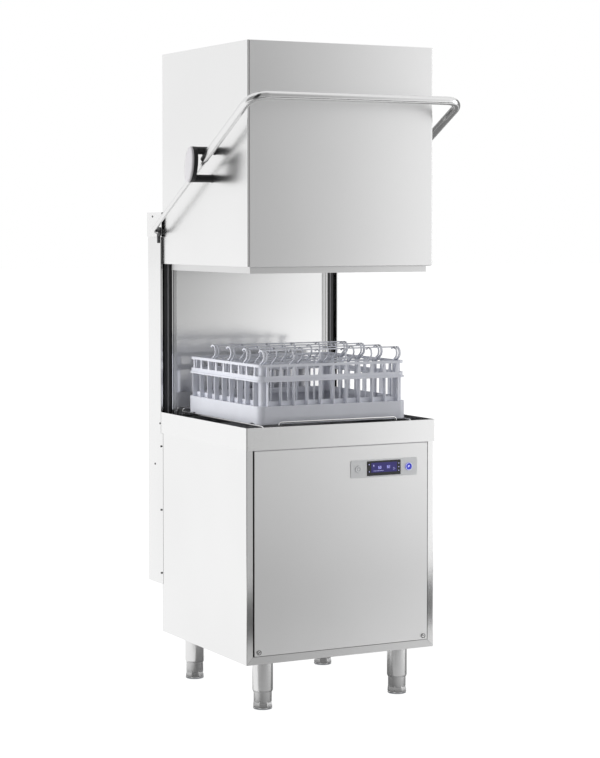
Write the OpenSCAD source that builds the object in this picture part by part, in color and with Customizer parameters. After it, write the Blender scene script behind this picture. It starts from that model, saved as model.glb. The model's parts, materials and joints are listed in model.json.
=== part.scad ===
// Hood-type pass-through rack dishwasher, hood raised, rack on its guide.
// Machine axes: X across the front, Y from the front (0) to the rear, Z up from the floor (0).

/* [Cabinet] */
// Width of the cabinet over its side panels
body_w = 630; // [620:1:634]
// Depth of the cabinet from its front flanges to its rear edge
body_d = 604; // [600:1:606]
// Height of the cabinet's underside above the floor
body_low = 146; // [140:1:160]
// Height of the cabinet's upper edge, where the rim starts
body_top = 770; // [765:1:775]
// Thickness of the stainless sheet
sheet = 1.5; // [1:0.1:1.5]
// Visible width of the front flanges beside the service panel
flange_w = 20.5; // [18:0.5:22]

/* [Rim] */
// Width of the rim band
rim_w = 635; // [633:1:637]
// How far the rim stands in front of the cabinet
rim_proud = 5.5; // [4:0.5:7]
// Height of the rim's upper edge
rim_top = 836; // [834:1:838]
// Height of the deck inside the rim
deck_z = 798; // [796:1:800]

/* [Hood] */
// Width of the hood over its outer panels
hood_w = 619.5; // [618:0.5:620]
// Distance of the hood's front behind the cabinet's front
hood_front_y = 0.7; // [0.5:0.1:1.5]
// Rear edge of the hood's sides
hood_rear_y = 608.7; // [607:0.1:609]
// Lower edge of the raised hood's outer panels
hood_low = 1301; // [1299:1:1303]
// Top of the raised hood
hood_top_z = 1954; // [1940:1:1960]
// Width of the hood's inner liner
liner_w = 591; // [588:1:592]
// How far the liner's lip hangs below the outer panels
lip_drop = 19.5; // [15:0.5:20]
// Thickness of the hood's liner
liner_sheet = 1; // [0.8:0.1:1.5]

/* [Column] */
// Width of the column's side covers
column_w = 635; // [634.6:0.1:636]
// Lower end of the column
column_low = 295; // [280:1:310]
// Top of the column
column_top = 1462; // [1460:1:1465]
// Rear face of the column
column_rear_y = 703; // [701:1:705]
// Lower edge of the column's cap
cap_low = 1385; // [1375:1:1388]
// Rear face of the column's cap
cap_rear_y = 711; // [709:1:715]

/* [Handle] */
// Radius of the handle's tube
tube_r = 12.5; // [11:0.5:13]
// Radius of the handle's arms behind the tube
rod_r = 7.5; // [6:0.5:8]
// Distance of each arm from the middle plane
arm_x = 347.5; // [345:0.5:350]
// Bend radius of the handle's front corners
bend_r = 50; // [40:1:60]
// Depth of the handle's pivot
pivot_y = 612; // [611:0.5:614]
// Height of the handle's pivot
pivot_z = 1402; // [1400:1:1410]
// Angle of the raised handle above the level
arm_angle = 28.4; // [28:0.1:28.6]
// Length of the handle from its pivot to its grip bar
arm_len = 815; // [810:1:820]
// Distance from the grip bar to the rear end of the tube
tube_len = 365; // [350:1:380]

/* [Rack] */
// Width and depth of the rack
rack_w = 500; // [490:1:500]
// Underside of the rack
rack_low = 838; // [837.5:0.5:840]
// Height of the rack's walls
rack_h = 175; // [150:1:180]
// Height of the closed band around the rack's foot
rack_band = 53; // [40:1:60]
// Depth of the rack's middle behind the cabinet's front
rack_y = 300; // [298:1:302]

/* [Hidden] */
$fn = 64;

// Colours
steel = [0.78, 0.78, 0.79];
dark_steel = [0.42, 0.42, 0.44];
black = [0.09, 0.09, 0.1];
rack_blue = [0.66, 0.69, 0.76];
grey_plastic = [0.55, 0.56, 0.58];

// The part's origin lies on the floor under the middle of the whole machine
bar_y = pivot_y - arm_len * cos(arm_angle);
bar_z = pivot_z + arm_len * sin(arm_angle);
mid_y = (bar_y - tube_r + cap_rear_y) / 2;

// Half widths and shared places
body_x = body_w / 2;
rim_x = rim_w / 2;
hood_x = hood_w / 2;
liner_x = liner_w / 2;
column_x = column_w / 2;
flange_x = body_x - flange_w;
panel_x = flange_x - 4;
panel_low = body_low + 24.5;
panel_top = body_top - 3;
panel_y = -3.5;
lock_x = 276.6;
lock_z = 182;
column_front_y = 606;
splash_y = 612;
wall_y = 602;
leg_x = 228;
leg_front_y = 70;
leg_rear_y = 549;
leg_low = 52;
spin_y = rack_y;
gap = 0.3;

// Strip of controls in the front panel
strip_x = [26, 253.7];
strip_z = [671.5, 725];
strip_y = panel_y - 2;
screen_x = [81.5, 196];
screen_z = [676.8, 719.8];
power_at = [51.7, 698.3];
start_at = [224, 698.3];

// Guide rails, sliders and gas struts beside the splash back
rail_x = [276, 302];
rail_y = [613.5, 643];
rail_z = [deck_z + sheet, 1455];
rail_wall = 4;
carriage_x = hood_x - sheet;
carriage_z = [1306, 1450];
strut_at = [292, 668];
strut_r = 11;
strut_z = [400, 920];
rod_top = 1412;

// Heads of the handle's pivots, between the bushes and the hood
clip_x = [310.4, 312.2];

// Handle guide on each side of the hood
guide_y = 231;
guide_z = 1601;
guide_tilt = 13;
prong_r = 11.5;
prong_gap = 84;
guide_x = [372, 386];
oval = [27.5, 54];
cap_x = 392.5;

// Hubs of the wash arms
lower_hub = 735;
upper_hub = 1319;
pedestal_r = 22;
spigot_r = 10;
tip_r = 7;
running = 0.08;
arm_r = 235;

// Pump
pump_y = 200;
pump_z = 260;

// Connections on the rear wall
inlet_at = [-200, 232];
drain_at = [200, 215];
gland_at = [262, 250];

// Rack: fins, windows and rows of the insert, from the rack's middle
half = rack_w / 2;
corner_r = 24;
low_wall = 67;
mid_rail = [124, 129];
window_z = [141, 167];
fin_deep = 14;
fin_side = 53;
fin_front = 43.8;
row_y = [-205, -95, 15, 125];

// Deck, tank and wire guide
mouth = [262, 38, 562];
tank_low = 560;
sump_low = 500;
wire_r = 2.5;
guide_rail_x = 248;
hoop_x = 197;
wire_y = [24, 592];

// ---- helpers ----

// Puts machine axes onto the part's origin
module placed() translate([0, -mid_y, 0]) children();

// Box between pairs of limits
module block(x, y, z) translate([x[0], y[0], z[0]]) cube([x[1] - x[0], y[1] - y[0], z[1] - z[0]]);

// The same shape on the right and mirrored on the left
module both_sides() {
    children();
    mirror([1, 0, 0]) children();
}

// Straight round bar from one point to another
module bar(a, b, r) {
    d = b - a;
    flat = norm([d[0], d[1]]);
    translate(a) rotate([0, atan2(flat, d[2]), atan2(d[1], d[0])]) cylinder(h = norm(d), r = r);
}

// Round pipe or wire along a list of points, with a slightly fuller ball at each inner corner
module run(points, r, fuller = 1) {
    for (i = [1:len(points) - 1]) bar(points[i - 1], points[i], r);
    if (len(points) > 2) for (i = [1:len(points) - 2]) translate(points[i]) sphere(r = r + fuller);
}

// Cylinder along X, from one depth to the other
module x_rod(x, y, z, r) translate([x[0], y, z]) rotate([0, 90, 0]) cylinder(h = x[1] - x[0], r = r);

// Cylinder along Y, from one depth to the other
module y_rod(x, y, z, r) translate([x, y[0], z]) rotate([-90, 0, 0]) cylinder(h = y[1] - y[0], r = r);

// Outline of a rectangle with round corners, centred
function round_rect(w, d, r, n = 6) = [for (q = [0:3], i = [0:n])
    let (a = 90 * (q + i / n), sx = (q == 0 || q == 3) ? 1 : -1, sy = q < 2 ? 1 : -1)
    [sx * (w / 2 - r) + r * cos(a), sy * (d / 2 - r) + r * sin(a)]];

// Outline of an ellipse
function ellipse(a, b, n = 40) = [for (i = [0:n - 1]) [a * cos(360 * i / n), b * sin(360 * i / n)]];

// Flat outline in X and Z, given depth limits
module upright(points, y) translate([0, y[1], 0]) rotate([90, 0, 0]) linear_extrude(y[1] - y[0]) polygon(points);

// Places of the screws on one side of the column, as depth and height
column_screws = [[612, 800], [605.5, 728], [651, 669], [605.5, 528], [604.5, 329]];
cap_screws = [[668, 1449]];
screw_r = 3.6;
shank_r = 2;

module legs_at() for (x = [-leg_x, leg_x], y = [leg_front_y, leg_rear_y]) translate([x, y, 0]) children();

// ---- cabinet ----

module base_frame() color(steel) placed() {
    sill_z = body_low + 22.5;
    x = body_x - sheet - 0.2;
    upright([[-x, body_low], [x, body_low], [x, body_low + 1.1], [flange_x - 0.5, sill_z], [0.5 - flange_x, sill_z],
        [-x, body_low + 1.1]], [0, sheet]);
    block([-body_x + 2, body_x - 2], [sheet, wall_y - 2], [body_low, body_low + 2]);
    both_sides() block([lock_x - 10, lock_x + 10], [13, 15], [body_low + 2, lock_z + 14]);
    both_sides() block([body_x - 4, body_x - 2], [30, wall_y - 20], [body_low + 2, body_low + 30]);
}

// Side panel on the right: skin, mitred front flange and rear flange
module side_panel() {
    block([body_x - sheet, body_x], [0, body_d], [body_low, body_top]);
    upright([[body_x - sheet, body_low + sheet + 0.5], [body_x - sheet, body_top], [flange_x, body_top],
        [flange_x, body_low + 23.5]], [0, sheet]);
    block([body_x - 20, body_x - sheet], [body_d - sheet, body_d], [body_low + 4, body_top]);
}

module side_panel_left() color(steel) placed() mirror([1, 0, 0]) side_panel();

module side_panel_right() color(steel) placed() side_panel();

module rear_panel() color(steel) placed() difference() {
    block([-body_x + 2, body_x - 2], [wall_y - sheet, wall_y], [body_low + 2.5, body_top - 1]);
    block([-195, 135], [wall_y - 10, wall_y + 10], [400, 600]);
    y_rod(inlet_at[0], [wall_y - 10, wall_y + 10], inlet_at[1], 12);
    y_rod(drain_at[0], [wall_y - 10, wall_y + 10], drain_at[1], 12);
    y_rod(gland_at[0], [wall_y - 10, wall_y + 10], gland_at[1], 10.5);
    for (i = [0:5]) block([-60, 60], [wall_y - 10, wall_y + 10], [180 + 14 * i, 184 + 14 * i]);
}

// Folded tray with a window for the control strip and holes for the locks
module front_panel() color(steel) placed() difference() {
    block([-panel_x, panel_x], [panel_y, 12], [panel_low, panel_top]);
    block([-panel_x + sheet, panel_x - sheet], [panel_y + sheet, 17], [panel_low + sheet, panel_top - sheet]);
    block([strip_x[0] + 8, strip_x[1] - 8], [panel_y - 1, 5], [strip_z[0] + 4, strip_z[1] - 4]);
    both_sides() y_rod(lock_x, [panel_y - 1, 5], lock_z, 4.4);
}

// Band on three sides with a bottom flange; its rear ends meet the column
module rim() color(steel) placed() {
    inner_x = rim_x - sheet;
    difference() {
        block([-rim_x, rim_x], [-rim_proud, column_front_y - gap], [body_top, rim_top]);
        block([-inner_x, inner_x], [-rim_proud + sheet, column_front_y + 1], [body_top + sheet, rim_top + 1]);
        block([18 - rim_x, rim_x - 18], [14, column_front_y + 1], [body_top - 1, rim_top]);
    }
}

// Gutter floor with a drip edge round the tank's mouth and an outer skirt
module tank_deck() color(dark_steel) placed() {
    x = rim_x - sheet - gap;
    y = [-rim_proud + sheet + gap, column_front_y - gap];
    difference() {
        block([-x, x], y, [body_top + sheet + gap, deck_z + sheet]);
        block([-x + sheet, x - sheet], [y[0] + sheet, y[1] + 1], [body_top, deck_z]);
        block([-mouth[0], mouth[0]], [mouth[1], mouth[2]], [body_top, rim_top]);
    }
    difference() {
        block([-mouth[0] - sheet, mouth[0] + sheet], [mouth[1] - sheet, mouth[2] + sheet], [deck_z, 820]);
        block([-mouth[0], mouth[0]], [mouth[1], mouth[2]], [deck_z - 1, 821]);
    }
    block([-x, x], [y[1] - 1, splash_y + sheet], [deck_z, deck_z + sheet]);
}

module wash_tank() color(steel) placed() difference() {
    union() {
        block([-mouth[0] - sheet, mouth[0] + sheet], [mouth[1] - sheet, mouth[2] + sheet], [tank_low, deck_z]);
        block([-80, 80], [220, 380], [sump_low, tank_low]);
    }
    block([-mouth[0], mouth[0]], [mouth[1], mouth[2]], [tank_low + sheet, deck_z + 1]);
    block([sheet - 80, 80 - sheet], [220 + sheet, 380 - sheet], [sump_low + sheet, tank_low + 2]);
    translate([0, spin_y, sump_low - 1]) cylinder(h = 4, r = 17);
    x_rod([75, 85], 250, 525, 18);
    x_rod([-85, -75], spin_y, 545, 7.4);
    for (s = [-60, 60]) x_rod([mouth[0] - 5, mouth[0] + 5], spin_y + s, 590, 4.2);
}

// Strainer plate over the tank and the basket below its opening
module tank_filters() color(dark_steel) placed() {
    difference() {
        block([-256, 256], [46, 554], [700, 702]);
        translate([0, spin_y, 699]) cylinder(h = 4, r = 30);
        translate([150, 150, 699]) cylinder(h = 4, r = 62);
        for (i = [0:9]) block([-230, -60], [80 + 46 * i, 90 + 46 * i], [699, 703]);
        for (i = [5:9]) block([60, 230], [80 + 46 * i, 90 + 46 * i], [699, 703]);
    }
    translate([150, 150, 610]) difference() {
        union() {
            cylinder(h = 92, r = 61);
            translate([0, 0, 92]) cylinder(h = 3, r = 68);
        }
        translate([0, 0, 2]) cylinder(h = 100, r = 59.5);
        for (a = [0:45:135], z = [12:18:66]) rotate([0, 0, a]) translate([-70, -4, z]) cube([140, 8, 9]);
    }
}

// Tubular heater in the tank and hairpin heater in the rinse boiler
module heating_elements() color(dark_steel) placed() {
    block([mouth[0] + sheet, mouth[0] + 5], [spin_y - 75, spin_y + 75], [572, 608]);
    run([[275, spin_y - 60, 590], [100, spin_y - 60, 590], [100, 110, 590], [-200, 110, 590], [-200, 480, 590],
        [100, 480, 590], [100, spin_y + 60, 590], [275, spin_y + 60, 590]], 4);
    for (s = [-1, 1]) run([[-170 + 25 * s, 425, 526], [-170 + 25 * s, 425, 230], [-170 + 25 * s, 475, 230],
        [-170 + 25 * s, 475, 526]], 4);
}

// Lower pedestal and upper boss that carry the arms
module arm_hubs() color(steel) placed() translate([0, spin_y, 0]) {
    difference() {
        union() {
            translate([0, 0, sump_low + sheet]) cylinder(h = lower_hub - sump_low - sheet, r = pedestal_r);
            translate([0, 0, lower_hub - 1]) cylinder(h = 35, r = spigot_r);
            translate([0, 0, lower_hub + 33]) cylinder(h = 20, r = tip_r);
            translate([0, 0, lower_hub + 51]) cylinder(h = 7, r = 13, $fn = 6);
        }
        translate([0, 0, sump_low]) cylinder(h = 200, r = 16);
        translate([-40, 0, 545]) rotate([0, 90, 0]) cylinder(h = 30, r = 5.5);
    }
    difference() {
        union() {
            translate([0, 0, upper_hub]) cylinder(h = 43, r = pedestal_r + 3);
            translate([0, 0, upper_hub - 25]) cylinder(h = 26, r = spigot_r);
            translate([0, 0, upper_hub - 42.5]) cylinder(h = 19, r = tip_r);
            translate([0, 0, upper_hub - 43.5]) cylinder(h = 5, r = 13, $fn = 6);
        }
        translate([0, 10, 1340]) rotate([-90, 0, 0]) cylinder(h = 30, r = 17);
    }
}

// Main pipe from the pump to the lower pedestal and up the column to the upper boss
module riser_pipes() color(steel) placed() {
    main = [[90, pump_y, 345], [90, pump_y, 440], [90, 655, 440], [90, 655, 1340], [0, 655, 1340],
        [0, spin_y + pedestal_r + 3, 1340]];
    branch = [[90, spin_y, 440], [0, spin_y, 440], [0, spin_y, sump_low]];
    suction = [[80, 250, 525], [170, 250, 525], [170, 250, pump_z], [170, pump_y, pump_z], [150, pump_y, pump_z]];
    difference() {
        union() {
            run(main, 19);
            run(branch, 19);
        }
        run([for (i = [0:len(main) - 1]) main[i] + (i == 0 ? [0, 0, -1] : i == 5 ? [0, -1, 0] : [0, 0, 0])], 17);
        run([branch[0], branch[1], branch[2] + [0, 0, 1]], 16);
    }
    difference() {
        run(suction, 19);
        run([for (i = [0:4]) suction[i] + (i == 0 || i == 4 ? [-1, 0, 0] : [0, 0, 0])], 17);
    }
}

module rinse_pipes() color(steel) placed() {
    upper = [[-170, 450, 520], [-170, 450, 545], [-170, 640, 545], [-60, 640, 545], [-60, 640, 1340],
        [-45, 640, 1340], [-45, spin_y, 1340], [-pedestal_r - 3, spin_y, 1340]];
    lower = [[-170, 450, 545], [-170, spin_y, 545], [-pedestal_r, spin_y, 545]];
    run(upper, 7);
    run(lower, 7);
}

// Motor housing and volute with room for the rotor
module wash_pump() color(grey_plastic) placed() {
    difference() {
        union() {
            x_rod([-150, 60], pump_y, pump_z, 60);
            x_rod([60, 125], pump_y, pump_z, 80);
            x_rod([125, 150], pump_y, pump_z, 24);
            translate([90, pump_y, pump_z]) cylinder(h = 85, r = 24);
            block([-110, 10], [pump_y - 45, pump_y + 45], [body_low + 2, pump_z - 40]);
        }
        x_rod([-140, 50], pump_y, pump_z, 53);
        x_rod([72, 112], pump_y, pump_z, 62);
        x_rod([-147, -139], pump_y, pump_z, 8 + running);
        x_rod([49, 73], pump_y, pump_z, 8 + running);
        x_rod([111, 151], pump_y, pump_z, 17);
        translate([90, pump_y, pump_z + 50]) cylinder(h = 36, r = 15);
    }
}

module rinse_boiler() color(steel) placed() difference() {
    translate([-170, 450, body_low + 2]) cylinder(h = 518 - body_low, r = 110);
    translate([-170, 450, body_low + 12]) cylinder(h = 500 - body_low, r = 108);
    for (sx = [-25, 25], sy = [-25, 25]) translate([-170 + sx, 450 + sy, 500]) cylinder(h = 40, r = 4.2);
    translate([-170, 450, 500]) cylinder(h = 40, r = 5);
}

module drain_pump() color(grey_plastic) placed() {
    x_rod([170, 225], 490, drain_at[1], 36);
    x_rod([110, 170], 490, drain_at[1], 28);
    block([130, 210], [465, 515], [body_low + 2, drain_at[1] - 30]);
    y_rod(drain_at[0], [520, 575], drain_at[1], 9);
}

module dosing_pumps() color(grey_plastic) placed() for (z = [300, 420]) {
    block([-290, -210], [40, 110], [z, z + 100]);
    y_rod(-250, [30, 41], z + 50, 32);
    block([sheet - body_x, -290], [60, 90], [z + 20, z + 80]);
}

// Open-fronted box with its circuit board
module control_box() color(grey_plastic) placed() {
    z = [345, 550];
    difference() {
        union() {
            block([70, 290], [30, 140], z);
            for (low = [365, 510]) block([290, body_x - sheet], [70, 100], [low, low + 20]);
        }
        block([72, 288], [29, 138], [z[0] + 2, z[1] - 2]);
    }
    block([90, 270], [130, 133], [z[0] + 15, z[1] - 15]);
    for (x = [100, 240], level = [375, 520]) y_rod(x, [132, 139], level, 4);
    for (i = [0:4]) block([100 + 32 * i, 122 + 32 * i], [100, 131], [380, 420]);
    block([120, 230], [112, 131], [445, 505]);
}

// Valve body with a threaded male spigot behind the rear wall
module water_inlet() color("silver") placed() {
    block([inlet_at[0] - 22, inlet_at[0] + 22], [563, 590], [inlet_at[1] - 22, inlet_at[1] + 22]);
    y_rod(inlet_at[0], [589, wall_y + 4], inlet_at[1], 11.5);
    y_rod(inlet_at[0], [wall_y, wall_y + 6], inlet_at[1], 18);
    y_rod(inlet_at[0], [wall_y + 5, wall_y + 24], inlet_at[1], 13.2);
}

module drain_outlet() color(grey_plastic) placed() difference() {
    union() {
        y_rod(drain_at[0], [575, wall_y + 4], drain_at[1], 11.5);
        y_rod(drain_at[0], [wall_y, wall_y + 5], drain_at[1], 20);
        y_rod(drain_at[0], [wall_y + 4, wall_y + 38], drain_at[1], 11);
    }
    y_rod(drain_at[0], [570, wall_y + 40], drain_at[1], 8.5);
}

module cable_gland() color(black) placed() difference() {
    union() {
        y_rod(gland_at[0], [585, wall_y + 4], gland_at[1], 10);
        translate([gland_at[0], wall_y, gland_at[1]]) rotate([-90, 0, 0]) cylinder(h = 8, r = 17, $fn = 6);
        translate([gland_at[0], wall_y + 7, gland_at[1]]) rotate([-90, 0, 0]) cylinder(h = 14, r = 14);
    }
    y_rod(gland_at[0], [580, wall_y + 30], gland_at[1], 6.5);
}

// ---- column ----

// Side cover: skin with a small front hem above the rim and a lap over the cabinet below it
module column_side() difference() {
    union() {
        block([column_x - sheet, column_x], [column_front_y, column_rear_y], [column_low, cap_low - 0.5]);
        block([column_x - sheet, column_x], [594, column_front_y], [column_low, body_top - 1]);
        block([column_x - 7, column_x - sheet], [column_front_y, column_front_y + sheet],
            [rim_top + 2, cap_low - 0.5]);
    }
    for (p = column_screws) x_rod([column_x - 5, column_x + 5], p[0], p[1], shank_r + 0.2);
}

module column_sides() color(steel) placed() both_sides() column_side();

module rear_cover() color(steel) placed() difference() {
    union() {
        x = column_x - sheet;
        block([-x, x], [column_rear_y - sheet, column_rear_y], [column_low, cap_low - 0.5]);
        block([-x, x], [body_d + 2, column_rear_y], [column_low, column_low + sheet]);
    }
    for (i = [0:7], x = [-130, 70]) block([x, x + 60], [690, 710], [420 + 16 * i, 425 + 16 * i]);
}

// Cap over the column's upper end, with holes for the handle's bushes
module column_cap() color(steel) placed() difference() {
    union() {
        both_sides() block([column_x - sheet, column_x], [598, cap_rear_y], [cap_low, column_top]);
        block([sheet - column_x, column_x - sheet], [cap_rear_y - sheet, cap_rear_y], [cap_low, column_top]);
        block([sheet - column_x, column_x - sheet], [splash_y, cap_rear_y - sheet], [column_top - sheet, column_top]);
    }
    both_sides() x_rod([column_x - 10, column_x + 10], pivot_y, pivot_z, 10.2);
    both_sides() for (p = cap_screws) x_rod([column_x - 5, column_x + 5], p[0], p[1], shank_r + 0.2);
}

// Stainless wall behind the rack, raised along both edges
module splash_back() color(steel) placed() difference() {
    union() {
        block([-rail_x[0], rail_x[0]], [splash_y, splash_y + sheet], [deck_z + sheet, column_top - 3]);
        both_sides() block([rail_x[0] - 17, rail_x[0]], [splash_y - 2, splash_y], [deck_z + sheet, column_top - 3]);
        both_sides() block([rail_x[0] - sheet, rail_x[0]], [splash_y + sheet, 650], [deck_z + sheet, column_top - 3]);
    }
    y_rod(0, [splash_y - 5, splash_y + 5], 1340, 20.5);
    y_rod(-45, [splash_y - 5, splash_y + 5], 1340, 8.5);
}

// Rails of C section, open towards the column's side covers
module guide_rails() color(black) placed() both_sides() difference() {
    block(rail_x, rail_y, rail_z);
    block([rail_x[0] + rail_wall, rail_x[1] + 1], [rail_y[0] + rail_wall, rail_y[1] - rail_wall],
        [rail_z[0] - 1, rail_z[1] + 1]);
}

// Cylinder tubes of the gas struts, each on a foot that reaches the rear cover
module gas_struts() color(black) placed() both_sides() difference() {
    union() {
        translate([strut_at[0], strut_at[1], strut_z[0]]) cylinder(h = strut_z[1] - strut_z[0], r = strut_r);
        block([strut_at[0] - 14, strut_at[0] + 14], [strut_at[1] - 14, column_rear_y - sheet],
            [strut_z[0] - 20, strut_z[0] + 4]);
    }
    translate([strut_at[0], strut_at[1], strut_z[0] + 5]) cylinder(h = strut_z[1] - strut_z[0] - 13, r = 9);
    translate([strut_at[0], strut_at[1], strut_z[1] - 10]) cylinder(h = 11, r = 4 + running);
}

// Spool through the cap's side, with a small stop tab below it
module pivot_bushes() color(black) placed() both_sides() difference() {
    union() {
        x_rod([column_x, column_x + 4], pivot_y, pivot_z, 14);
        x_rod([column_x - sheet - 3.5, column_x - sheet], pivot_y, pivot_z, 14);
        x_rod([column_x - 3, column_x + 1], pivot_y, pivot_z, 10);
        block([column_x, column_x + 3.5], [pivot_y + 2, pivot_y + 13], [pivot_z - 36, pivot_z]);
    }
    x_rod([column_x - 20, column_x + 20], pivot_y, pivot_z, rod_r + running);
}

module legs() color(steel) placed() legs_at() difference() {
    union() {
        translate([0, 0, leg_low + 3]) cylinder(h = body_low - leg_low - 3, r = 30);
        translate([0, 0, leg_low]) cylinder(h = 4, r = 28.5);
    }
    translate([0, 0, leg_low - 1]) cylinder(h = 75, r = 27.1);
    translate([0, 0, leg_low]) cylinder(h = 100, r = 8 + running);
}

// Wire frame that carries and guides the rack
module rack_guide() color("silver") placed() {
    low = deck_z + sheet;
    top = rack_low - gap - wire_r;
    both_sides() run([[guide_rail_x, wire_y[0], low], [guide_rail_x, wire_y[0], top],
        [guide_rail_x, wire_y[1], top]], wire_r, 0.4);
    run([[-hoop_x, wire_y[0], low], [-hoop_x, wire_y[0], 848 - wire_r], [hoop_x, wire_y[0], 848 - wire_r],
        [hoop_x, wire_y[0], low]], wire_r, 0.4);
    run([[-guide_rail_x, wire_y[1], low], [-guide_rail_x, wire_y[1], 848 - wire_r],
        [guide_rail_x, wire_y[1], 848 - wire_r], [guide_rail_x, wire_y[1], low]], wire_r, 0.4);
    for (y = wire_y) bar([-guide_rail_x, y, 812], [guide_rail_x, y, 812], wire_r);
}

// ---- controls ----

module control_bezel() color([0.82, 0.83, 0.84]) placed() difference() {
    translate([(strip_x[0] + strip_x[1]) / 2, panel_y, (strip_z[0] + strip_z[1]) / 2]) rotate([90, 0, 0])
        linear_extrude(2) polygon(round_rect(strip_x[1] - strip_x[0], strip_z[1] - strip_z[0], 6));
    block([screen_x[0] - gap, screen_x[1] + gap], [-10, 5], [screen_z[0] - gap, screen_z[1] + gap]);
    y_rod(power_at[0], [-10, 5], power_at[1], 10.3);
    y_rod(start_at[0], [-10, 5], start_at[1], 11.3);
}

module display() color(black) placed() {
    block(screen_x, [strip_y - 1.5, 6], screen_z);
    block([strip_x[0] + 10, strip_x[1] - 10], [11, 28], [strip_z[0] + 6, strip_z[1] - 6]);
    for (x = [95, 180]) block([x, x + 8], [5, 12], [690, 706]);
}

// Button with a collar behind the bezel
module button(at, r) {
    y_rod(at[0], [strip_y - 2.5, 8], at[1], r);
    y_rod(at[0], [-1.2, 1], at[1], r + 1.5);
}

module power_button() color("silver") placed() button(power_at, 10);

module start_button() color("blue") placed() button(start_at, 11);

// Slotted head and stud of a quarter-turn lock
module panel_lock() difference() {
    union() {
        y_rod(lock_x, [panel_y - 2.5, panel_y - 0.1], lock_z, 7.5);
        y_rod(lock_x, [panel_y - 1, 12.5], lock_z, 4);
    }
    translate([lock_x, panel_y - 2.5, lock_z]) rotate([0, 35, 0]) cube([11, 2.4, 1.8], center = true);
}

module panel_lock_left() color(steel) placed() mirror([1, 0, 0]) panel_lock();

module panel_lock_right() color(steel) placed() panel_lock();

module cover_screws() color(steel) placed() both_sides() for (p = concat(column_screws, cap_screws)) {
    x_rod([column_x, column_x + 1.8], p[0], p[1], screw_r);
    x_rod([column_x - 1.5, column_x + 0.5], p[0], p[1], shank_r);
}

// ---- hood ----

module hood_front() color(steel) placed() {
    block([-hood_x, hood_x], [hood_front_y, hood_front_y + sheet], [hood_low, hood_top_z]);
    block([-hood_x + 2, hood_x - 2], [hood_front_y + sheet, 14.3], [hood_low, hood_low + sheet]);
}

// Side skin with a bottom flange and a rear hem above the carriage
module hood_side() {
    y = hood_front_y + sheet + 0.1;
    block([hood_x - sheet, hood_x], [y, hood_rear_y], [hood_low, hood_top_z]);
    block([liner_x + 0.2, hood_x - sheet], [14.6, 556], [hood_low, hood_low + sheet]);
    block([290, hood_x - sheet], [hood_rear_y - sheet, hood_rear_y], [carriage_z[1] + 5, hood_top_z - 3]);
}

module hood_left() color(steel) placed() mirror([1, 0, 0]) hood_side();

module hood_right() color(steel) placed() hood_side();

module hood_top() color(steel) placed() {
    x = hood_x - sheet - 0.1;
    block([-x, x], [hood_front_y + sheet + 0.1, 606.5], [hood_top_z - sheet, hood_top_z]);
    block([-288, 288], [605, 606.5], [hood_top_z - 39, hood_top_z - 1]);
}

// Inner skin on three sides and under the top; its lip hangs below the outer panels
module hood_liner() color(steel) placed() difference() {
    t = liner_sheet;
    block([-liner_x, liner_x], [14.5, 568], [hood_low - lip_drop, hood_top_z - 24]);
    block([t - liner_x, liner_x - t], [14.5 + t, 570], [hood_low - 30, hood_top_z - 24 - t]);
}

// Plates inside the hood's sides that reach back to the sliders and struts
module hood_carriages() color(dark_steel) placed() both_sides()
    block([carriage_x - 3, carriage_x], [560, 680], carriage_z);

module hood_sliders() color(black) placed() both_sides()
    block([rail_x[0] + rail_wall + 0.5, carriage_x - 3], [rail_y[0] + rail_wall + 0.5, rail_y[1] - rail_wall - 0.5],
        [carriage_z[0] + 4, carriage_z[1] - 4]);

// Piston rod with its piston, and the end block pinned to the carriage
module strut_rods() color("silver") placed() both_sides() {
    translate([strut_at[0], strut_at[1], 885]) cylinder(h = rod_top - 885, r = 4);
    translate([strut_at[0], strut_at[1], 885]) cylinder(h = 12, r = 9 - running);
    block([strut_at[0] - 6, strut_at[0] + 6], [strut_at[1] - 8, strut_at[1] + 8], [rod_top - 12, rod_top + 12]);
    x_rod([strut_at[0] + 5, carriage_x - 3], strut_at[1], rod_top, 5);
}

// Turns a shape of the handle guide to its tilt
module at_guide() translate([0, guide_y, guide_z]) rotate([guide_tilt, 0, 0]) children();

module oval_plate(x) translate([x[0], 0, 0]) rotate([90, 0, 90]) linear_extrude(x[1] - x[0])
    polygon(ellipse(oval[0], oval[1]));

// Two prongs and an oval plate that hold the handle's arm
module handle_guides() color(black) placed() both_sides() at_guide() {
    for (s = [-1, 1]) x_rod([hood_x, guide_x[0] + 1], 0, s * prong_gap / 2, prong_r);
    oval_plate(guide_x);
}

module guide_caps() color([0.8, 0.8, 0.82]) placed() both_sides() at_guide() oval_plate([guide_x[1], cap_x]);

module badge_plate() color([0.86, 0.87, 0.88]) placed()
    block([182.5, 257], [hood_front_y - 1.2, hood_front_y], [1873.5, 1896.5]);

// ---- handle ----

// Half of the bent tube: grip bar along X, bend, and arm along Y up to a given length
module tube_half(r, length) {
    rotate([0, 90, 0]) cylinder(h = arm_x - bend_r, r = r);
    translate([arm_x - bend_r, bend_r, 0]) rotate([0, 0, -90]) rotate_extrude(angle = 90)
        translate([bend_r, 0]) circle(r = r);
    translate([arm_x, bend_r, 0]) rotate([-90, 0, 0]) cylinder(h = length - bend_r, r = r);
}

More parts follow.
